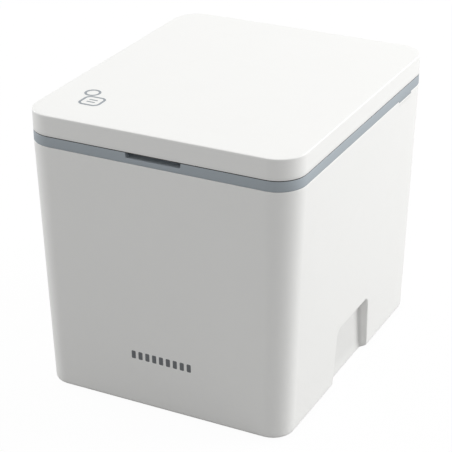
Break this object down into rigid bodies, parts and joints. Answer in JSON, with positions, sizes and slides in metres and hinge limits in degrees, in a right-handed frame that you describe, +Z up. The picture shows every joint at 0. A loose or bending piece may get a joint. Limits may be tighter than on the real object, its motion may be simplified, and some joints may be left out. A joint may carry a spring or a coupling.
{
  "type": "portable separating toilet",
  "caption": "Compact box-shaped waterless toilet: white housing with side grip recesses, grey hinged seat frame, flat hinged lid, separator, capped canister and bucket inside.",
  "frame": {"origin": "middle of the footprint on the floor, hinge barrels included", "axes": "+Z up, -Y towards the front with the finger slot, +X to the right when seen from the front"},
  "size_m": [0.342, 0.4092, 0.358],
  "materials": {
    "white_shell": "white moulded shell, fine satin grain",
    "grey_plastic": "cool grey moulded plastic, fine satin grain",
    "milky_tank": "natural blown polyethylene, milky",
    "dark_plastic": "dark grey moulded plastic",
    "rubber": "soft black rubber",
    "steel": "stainless steel wire and pins"
  },
  "bodies": {
    "housing": {"housing": "white_shell", "foot_front_left": "rubber", "foot_front_right": "rubber", "foot_rear_left": "rubber", "foot_rear_right": "rubber", "frame_seal": "rubber", "seat_hinge_pin_left": "steel", "seat_hinge_pin_right": "steel", "canister_tank": "milky_tank", "solids_bucket": "dark_plastic", "bucket_bail": "steel", "bag_ring": "grey_plastic"},
    "cap_liner": {"cap_liner": "rubber"},
    "cap": {"canister_cap": "grey_plastic"},
    "seat_frame": {"seat_frame": "grey_plastic", "seat": "white_shell", "seat_screw_1": "steel", "seat_screw_2": "steel", "seat_screw_3": "steel", "seat_screw_4": "steel", "seat_screw_5": "steel", "seat_screw_6": "steel", "separator": "grey_plastic", "lid_hinge_pin_left": "steel", "lid_hinge_pin_right": "steel"},
    "lid": {"lid": "white_shell", "lid_seal": "rubber"}
  },
  "joints": [
    {"name": "seat_hinge", "type": "hinge", "parent": "housing", "child": "seat_frame", "pos_m": [0, 0.2004, 0.3185], "axis": [-1, 0, 0], "range_deg": [0, 95]},
    {"name": "lid_hinge", "type": "hinge", "parent": "seat_frame", "child": "lid", "pos_m": [0, 0.2004, 0.332], "axis": [-1, 0, 0], "range_deg": [0, 105]},
    {"name": "cap_rise", "type": "slide", "parent": "housing", "child": "cap_liner", "axis": [0, 0, 1], "range_m": [0, 0.0061]},
    {"name": "cap_turn", "type": "hinge", "parent": "cap_liner", "child": "cap", "pos_m": [0, -0.11666, 0.2443], "axis": [0, 0, 1], "range_deg": [0, 540]}
  ],
  "couplings": [
    {"joint": "cap_rise", "follows": "cap_turn", "m_per_rad": 0.00063662}
  ]
}
